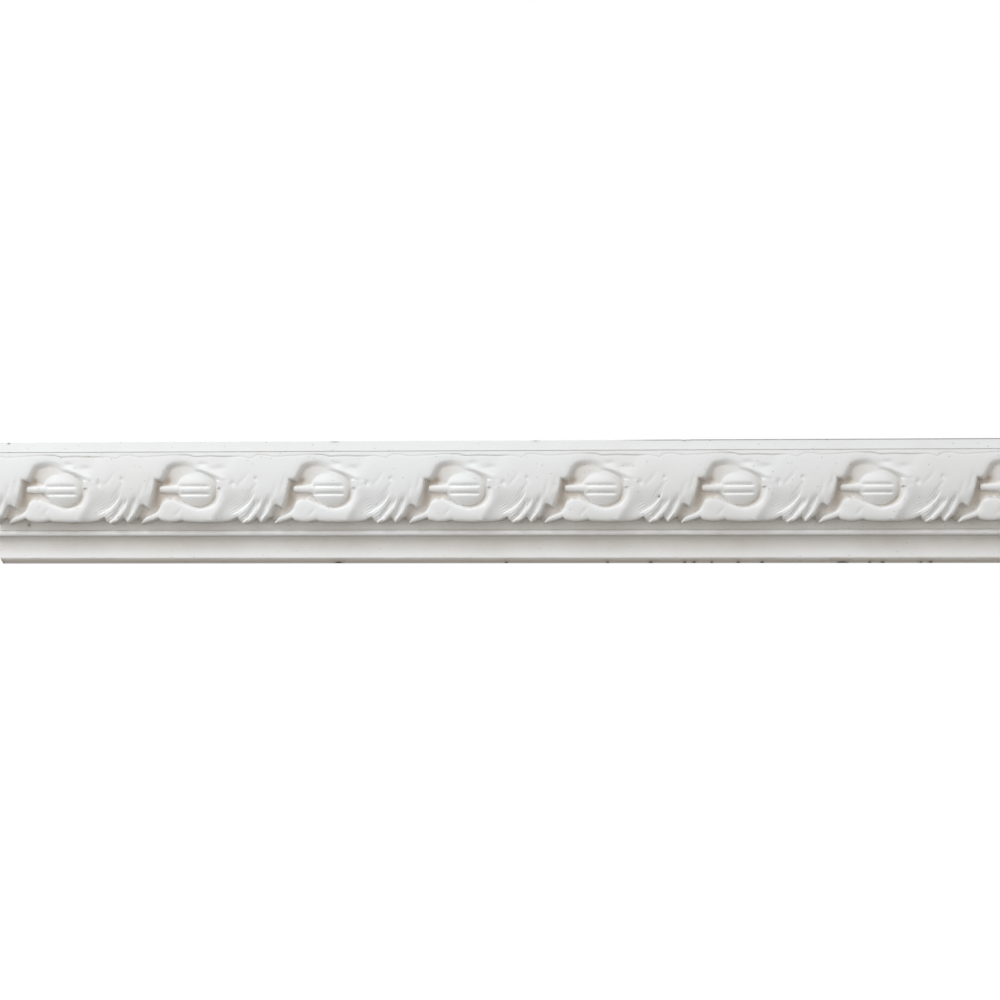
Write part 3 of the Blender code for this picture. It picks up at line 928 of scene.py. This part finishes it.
@dataclass(frozen=True)
class PlasterFinish:
    """Matt plaster: its colours, how dirt and painted shade darken its recesses, how worn plaster and
    painted highlight lighten its proud edges, and the size of its grain in metres.

    A noise is given as scale, detail and roughness. Dots are given as cells to a metre, radius as a
    share of a cell, and the share of cells left bare.
    """

    name: str
    clouds: Trio = (34, 4, 0.6)
    patches: Trio = (7, 3, 0.5)
    fine_grain: Trio = (1300, 2, 0.7)
    lumpiness: Trio = (190, 3, 0.6)
    drawn_lines: Trio = (1, 2, 0.6)
    saw_teeth: Trio = (1, 3, 0.7)
    hole_dots: Trio = (210, 0.16, 0.72)
    speck_dots: Trio = (120, 0.07, 0.9)
    body: Trio = (0.86, 0.863, 0.858)
    warm: Trio = (0.80, 0.79, 0.765)
    # Warm dark tint for the recesses, which is dirt and painted shade, and for pinholes, specks and grain
    grime_and_shade: Trio = (0.5, 0.415, 0.325)
    # Lighter tint for proud edges and crests, which is worn plaster and painted highlight
    rubbed_and_highlight: Trio = (0.90, 0.905, 0.905)
    # Near-black tint painted into chips, pits, the broken corner and the top line
    dark_mark: Trio = (0.05, 0.043, 0.038)
    warm_patches: Spot = (0.35, 0.75)
    warm_share: float = 0.55
    grime_and_shade_share: float = 0.9
    grime_and_shade_least: float = 0.55
    grime_and_shade_clouds: float = 0.9
    rubbed_and_highlight_clouds: Spot = (0.3, 0.6)
    rubbed_and_highlight_share: float = 0.5
    hole_grime: float = 0.35
    speck_grime: float = 0.4
    grain_grime: float = 0.12
    grain_clean: float = 0.35
    roughness: float = 0.86
    rough_clouds: float = 0.12
    edge_polish: float = 0.06
    specular: float = 0.3
    grain: float = 0.00005
    lumps: float = 0.00016
    pinholes: float = 0.0003
    run_marks: float = 0.00007
    run_stretch: Trio = (6, 900, 900)
    saw_marks: float = 0.0
    saw_stretch: Trio = (60, 90, 1100)
    # Dark line painted along the top edge: where it starts along the length, the level of the top, and its
    # height
    dark_top_line: Trio | None = None
    dark_top_fade: float = 0.06
    dark_top_clouds: Spot = (0.1, 0.45)
    dark_top_share: float = 0.85

    def material(self) -> bpy.types.Material:
        """Build the finish as a material.

        Returns:
            The material.
        """
        graph = Graph(self.name)
        place = graph.node("ShaderNodeTexCoord", {}, {}, "Object")
        cloud = graph.noise(place, *self.clouds)
        patches = graph.noise(place, *self.patches)
        fine = graph.noise(place, *self.fine_grain)
        holes = self.dots(graph, place, *self.hole_dots)
        specks = self.dots(graph, place, *self.speck_dots)
        recess, edge = graph.attribute("recess"), graph.attribute("edge")
        share = graph.band(patches, *self.warm_patches) * self.warm_share
        colour = graph.tint(self.body, self.warm, share)
        # Recesses darkened towards the warm tint: dirt, and painted shade where the hollows lie in shadow
        share = recess * (self.grime_and_shade_least + self.grime_and_shade_clouds * cloud) * self.grime_and_shade_share
        colour = graph.tint(colour, self.grime_and_shade, share)
        # Proud edges and crests lightened: worn plaster, and painted highlight where the light catches them
        share = edge * graph.band(cloud, *self.rubbed_and_highlight_clouds) * self.rubbed_and_highlight_share
        colour = graph.tint(colour, self.rubbed_and_highlight, share)
        share = holes * self.hole_grime + specks * self.speck_grime
        share = share + self.grain_grime * (fine - self.grain_clean)
        colour = graph.tint(colour, self.grime_and_shade, share)
        # Cloudy dark line painted along the top edge, right of its start
        if self.dark_top_line:
            start, level, height = self.dark_top_line
            line = graph.band(graph.axis(place, "X"), start, start + self.dark_top_fade) * graph.band(
                graph.axis(place, "Z"), level - height, level)
            share = line * graph.band(cloud, *self.dark_top_clouds) * self.dark_top_share
            colour = graph.tint(colour, self.dark_mark, share)
        # Chips, pits and the broken corner painted dark
        colour = graph.tint(colour, self.dark_mark, graph.attribute("dark_mark"))
        roughness = self.roughness + self.rough_clouds * (cloud - 0.5) - self.edge_polish * edge
        graph.feed(graph.shader.inputs["Base Color"], colour)
        graph.feed(graph.shader.inputs["Roughness"], roughness)
        graph.shader.inputs["Metallic"].default_value = 0
        graph.shader.inputs["Specular IOR Level"].default_value = self.specular
        lumps = graph.noise(place, *self.lumpiness) * self.lumps
        height = fine * self.grain + lumps - holes * self.pinholes
        if self.run_marks:
            drawn = graph.noise(graph.stretched(place, self.run_stretch), *self.drawn_lines)
            height = height + drawn * graph.attribute("run") * self.run_marks
        if self.saw_marks:
            teeth = graph.noise(graph.stretched(place, self.saw_stretch), *self.saw_teeth)
            height = height + teeth * self.saw_marks
        graph.feed(graph.shader.inputs["Normal"], graph.node("ShaderNodeBump", {}, {
            "Strength": 1, "Distance": 1, "Height": height}))
        return graph.material

    def dots(self, graph: Graph, place: Value, scale: float, radius: float, rarity: float) -> Value:
        """Small round marks scattered over the surface.

        Args:
            graph: The graph to add to.
            place: Place on the surface.
            scale: Cells to a metre.
            radius: Radius of a mark, as a share of a cell.
            rarity: Share of the cells left without a mark.

        Returns:
            1 on a mark and 0 elsewhere.
        """
        cells = graph.node("ShaderNodeTexVoronoi", {}, {"Vector": place, "Scale": scale}, "Distance")
        pick = graph.node("ShaderNodeTexVoronoi", {}, {"Vector": place, "Scale": scale}, "Color")
        share = graph.node("ShaderNodeSeparateColor", {}, {"Color": pick}, "Red")
        return (1 - graph.band(cells, radius * 0.6, radius)) * share.over(rarity)


class Surface(Enum):
    """Finish of each part of the length, in the order of its material slots."""

    FACE = PlasterFinish("cast_plaster_face", dark_top_line=(0.114, 0.108, 0.0015))
    SAWN_END = PlasterFinish(
        "sawn_plaster_end", body=(0.82, 0.818, 0.805), warm=(0.75, 0.737, 0.71), grain=0.00009,
        lumps=0.0002, pinholes=0.0006, run_marks=0.0, saw_marks=0.00035)
    BACK = PlasterFinish(
        "cast_plaster_back", body=(0.79, 0.783, 0.765), warm=(0.715, 0.70, 0.665), grain=0.00012,
        lumps=0.0006, pinholes=0.0008, run_marks=0.00015)


@dataclass
class CorniceLength:
    """The whole length: the lofted section with its carving and wear, in three finishes."""

    section: Section
    carving: LeafCarving
    wear: Wear
    first_pod: float = 0.0742
    repeat: float = 0.1363
    column: float = 0.00075
    most_triangles: int = 192000
    end_true_within: float = 0.0002
    crisp_angle: float = 40.0
    cavity_step: float = 0.0007
    cavity_deep: float = 0.0052
    cavity_wide: float = 0.013
    cavity_soft: float = 6.0
    edge_wide: float = 0.0012
    edge_proud: float = 0.00035

    def build(self) -> bpy.types.Object:
        """Loft, wear and thin the mesh, and dress it.

        Returns:
            The finished piece.
        """
        low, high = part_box(CAD_NODE)
        along = np.linspace(low.x, high.x, round((high.x - low.x) / self.column) + 1)
        from_left = along - low.x
        drawn_x = (from_left - self.first_pod) / self.repeat * self.carving.drawing.repeat
        rows = self.section.rows(along, self.carving, drawn_x + self.carving.drawing.pod)
        members = [row.member for row in rows]
        drop = np.stack([row.drop for row in rows], 1)
        out = np.stack([row.out for row in rows], 1)
        face = np.array([member in FACE for member in members])
        recess, edge = self.cavities(drop, out, face)
        # Strength of the warm dark tint at each point: dirt and painted shade in the recesses, plus each
        # member's even coat of painted shade
        kept, grime_and_shade_film = np.array([GRIME_AND_PAINTED_SHADE.get(member, (1, 0)) for member in members]).T
        recess = np.clip(recess * kept + grime_and_shade_film, 0, 1)
        out = np.where(face, out - self.wear.wavering(from_left, drop), out)
        foot = (self.section.drops[9], self.section.outs[0])
        drop, out, dark_mark = self.wear.knock(from_left, drop, np.maximum(out, 0), self.section.outs[6], foot)
        points = np.stack([np.broadcast_to(along[:, None], drop.shape), -np.maximum(out, 0),
                           high.z - np.maximum(drop, 0)], -1)
        run = np.broadcast_to(np.array([member in RUN + HIDDEN for member in members], float), drop.shape)
        mesh = self.loft(points, members)
        for name, values in (("recess", recess), ("edge", edge), ("dark_mark", dark_mark), ("run", run)):
            layer = mesh.attributes.new(name, "FLOAT", "POINT")
            layer.data.foreach_set("value", values.astype(np.float32).ravel())
        piece = bpy.data.objects.new("carved_cornice", mesh)
        bpy.context.scene.collection.objects.link(piece)
        self.thin(piece, low.x, high.x)
        for surface in Surface:
            piece.data.materials.append(surface.value.material())
        return piece

    def cavities(self, drop: Grid, out: Grid, face: Grid) -> tuple[Grid, Grid]:
        """How far each point of the face lies in a recess, and how far it stands proud on an edge; the
        finish darkens the recesses with dirt and painted shade, and lightens the edges with worn plaster
        and painted highlight.

        Args:
            drop: Drops of every point.
            out: Outs of every point.
            face: Which rows belong to the face.

        Returns:
            Both as shares from 0 to 1, and 0 behind the face.
        """
        even = np.arange(0, self.section.drops[9], self.cavity_step)
        flat = np.stack([np.interp(even, d, o) for d, o in zip(drop[:, face], out[:, face])])
        along, down = self.cavity_wide / self.column, self.cavity_wide / self.cavity_step
        hollow = np.clip((blur(flat, along, down) - flat) / self.cavity_deep, 0, 1)
        hollow = blur(hollow, along / self.cavity_soft, down / self.cavity_soft)
        along, down = self.edge_wide / self.column, self.edge_wide / self.cavity_step
        proud = np.clip((flat - blur(flat, along, down)) / self.edge_proud, 0, 1)
        return tuple(np.stack([np.where(face, np.interp(d, even, line), 0) for d, line in zip(drop, lines)])
                     for lines in (hollow, proud))

    def loft(self, points: Grid, members: Sequence[Member]) -> bpy.types.Mesh:
        """Join the sections into one closed mesh.

        Args:
            points: Points by place along the length and by row.
            members: Member of each row.

        Returns:
            The mesh, with each face's finish chosen.
        """
        sections, rows = points.shape[:2]
        index = np.arange(sections * rows).reshape(sections, rows)
        turned = np.roll(index, -1, axis=1)
        sides = np.stack([index[:-1], turned[:-1], turned[1:], index[1:]], axis=-1).reshape(-1, 4)
        faces = sides.tolist() + [index[0, ::-1].tolist(), index[-1].tolist()]
        mesh = bpy.data.meshes.new("carved_cornice")
        mesh.from_pydata(points.reshape(-1, 3).tolist(), [], faces)
        order = list(Surface)
        kinds = [Surface.BACK if member in HIDDEN else Surface.FACE for member in members]
        slots = np.tile([order.index(kind) for kind in kinds], sections - 1)
        slots = np.append(slots, [order.index(Surface.SAWN_END)] * 2)
        mesh.polygons.foreach_set("material_index", slots.astype(np.int32))
        return mesh

    def thin(self, piece: bpy.types.Object, left: float, right: float) -> None:
        """Merge faces where the surface is plain, set the ends square again and shade it smooth.

        Args:
            piece: The piece to thin.
            left: Place of the left end.
            right: Place of the right end.
        """
        triangles = sum(len(face.vertices) - 2 for face in piece.data.polygons)
        thinning = piece.modifiers.new("thinning", "DECIMATE")
        thinning.ratio = min(self.most_triangles / triangles, 1)
        graph = bpy.context.evaluated_depsgraph_get()
        piece.data = bpy.data.meshes.new_from_object(piece.evaluated_get(graph))
        piece.modifiers.clear()
        for point in piece.data.vertices:
            for end in (left, right):
                if abs(point.co.x - end) < self.end_true_within:
                    point.co.x = end
        piece.data.shade_smooth()
        piece.data.set_sharp_from_angle(angle=math.radians(self.crisp_angle))

    def fit(self, piece: bpy.types.Object) -> None:
        """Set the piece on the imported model, in the place of its plain solid."""
        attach(piece, "root")
        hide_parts(CAD_NODE)


@dataclass(frozen=True)
class Studio:
    """Pale floor, white surround, soft lights and the camera at the photograph's angle.

    The surround's colours are placed from 0, straight down, to 1, straight up.
    """

    floor_drop: float = 1.6
    floor_size: float = 160.0
    floor_tint: Trio = (0.9, 0.9, 0.9)
    floor_glow: float = 0.75
    surround: tuple[tuple[float, Trio], ...] = (
        (0.2, (0.2, 0.19, 0.175)), (0.42, (0.6, 0.585, 0.56)), (0.485, (1.0, 1.0, 1.0)),
        (0.62, (1.0, 1.0, 1.0)), (0.75, (0.54, 0.56, 0.59)))
    key_at: Trio = (-1.6, -2.6, 2.3)
    key_size: float = 1.45
    key_watts: float = 65.0
    fill_at: Trio = (-1.5, -2.3, 0.1)
    fill_size: float = 2.2
    fill_watts: float = 9.5
    light_tint: Trio = (0.95, 0.98, 1.0)
    target: Trio = (0.0059, 0.0, 0.0503)
    distance: float = 2.5
    yaw: float = 4.34
    pitch: float = 1.6
    roll: float = 0.03
    lens: float = 88.52
    sensor: float = 36.0

    def floor(self) -> None:
        """Lay the floor well below the length, which hangs from its wall and ceiling."""
        half = self.floor_size / 2
        corners = [(-half, -half), (half, -half), (half, half), (-half, half)]
        mesh = bpy.data.meshes.new("floor")
        mesh.from_pydata([(x, y, -self.floor_drop) for x, y in corners], [], [(0, 1, 2, 3)])
        floor = bpy.data.objects.new("floor", mesh)
        bpy.context.scene.collection.objects.link(floor)
        graph = Graph("pale_floor")
        graph.shader.inputs["Base Color"].default_value = (*self.floor_tint, 1)
        graph.shader.inputs["Roughness"].default_value = 1
        graph.shader.inputs["Emission Color"].default_value = (1, 1, 1, 1)
        graph.shader.inputs["Emission Strength"].default_value = self.floor_glow
        mesh.materials.append(graph.material)
        floor.visible_diffuse = False
        floor.visible_glossy = False

    def surroundings(self) -> None:
        """White surround at the horizon, dimmer overhead and below, so that undersides lie in shade."""
        world = bpy.data.worlds.new("surround")
        bpy.context.scene.world = world
        world.use_nodes = True
        tree = world.node_tree
        where = tree.nodes.new("ShaderNodeTexCoord")
        split = tree.nodes.new("ShaderNodeSeparateXYZ")
        rise = tree.nodes.new("ShaderNodeMapRange")
        rise.inputs["From Min"].default_value = -1
        ramp = tree.nodes.new("ShaderNodeValToRGB")
        while len(ramp.color_ramp.elements) < len(self.surround):
            ramp.color_ramp.elements.new(1)
        for element, (at, colour) in zip(ramp.color_ramp.elements, self.surround):
            element.position = at
            element.color = (*colour, 1)
        tree.links.new(where.outputs["Generated"], split.inputs[0])
        tree.links.new(split.outputs["Z"], rise.inputs["Value"])
        tree.links.new(rise.outputs[0], ramp.inputs[0])
        tree.links.new(ramp.outputs[0], tree.nodes["Background"].inputs["Color"])

    def light(self, name: str, at: Trio, size: float, watts: float) -> None:
        """Hang a square soft light that faces the length.

        Args:
            name: Name of the light.
            at: Where it hangs.
            size: Length of its side.
            watts: Its power.
        """
        data = bpy.data.lights.new(name, "AREA")
        data.size, data.energy, data.color = size, watts, self.light_tint
        lamp = bpy.data.objects.new(name, data)
        lamp.location = at
        lamp.rotation_euler = (Vector(self.target) - Vector(at)).to_track_quat("-Z", "Y").to_euler()
        bpy.context.scene.collection.objects.link(lamp)

    def camera(self) -> None:
        """Set up the camera, turned a little to the left and up, and tilted by a hair."""
        yaw, pitch, roll = math.radians(self.yaw), math.radians(self.pitch), math.radians(self.roll)
        level = Vector((math.cos(yaw), math.sin(yaw), 0))
        ahead = Vector((-math.sin(yaw), math.cos(yaw), 0)) * math.cos(pitch)
        ahead += Vector((0, 0, math.sin(pitch)))
        above = level.cross(ahead)
        right = level * math.cos(roll) - above * math.sin(roll)
        up = level * math.sin(roll) + above * math.cos(roll)
        data = bpy.data.cameras.new("camera")
        data.lens, data.sensor_width = self.lens, self.sensor
        camera = bpy.data.objects.new("camera", data)
        turn = Matrix((right, up, -ahead)).transposed().to_4x4()
        camera.matrix_world = Matrix.Translation(Vector(self.target) - ahead * self.distance) @ turn
        bpy.context.scene.collection.objects.link(camera)
        bpy.context.scene.camera = camera

    def set_up(self) -> None:
        """Build the whole studio, shown without a film curve so that white plaster stays white."""
        bpy.context.scene.view_settings.view_transform = "Standard"
        self.floor()
        self.surroundings()
        self.light("key_light", self.key_at, self.key_size, self.key_watts)
        self.light("fill_light", self.fill_at, self.fill_size, self.fill_watts)
        self.camera()


def main() -> None:
    """Build the length and its studio, and report each piece."""
    logging.basicConfig(level=logging.INFO, format="%(message)s")
    length = CorniceLength(Section(), LeafCarving(), Wear())
    piece = length.build()
    length.fit(piece)
    LOG.info("%s: %d faces", piece.name, len(piece.data.polygons))
    Studio().set_up()
    LOG.info("studio: floor, surround, two lights and camera")


if __name__ == "__main__":
    main()
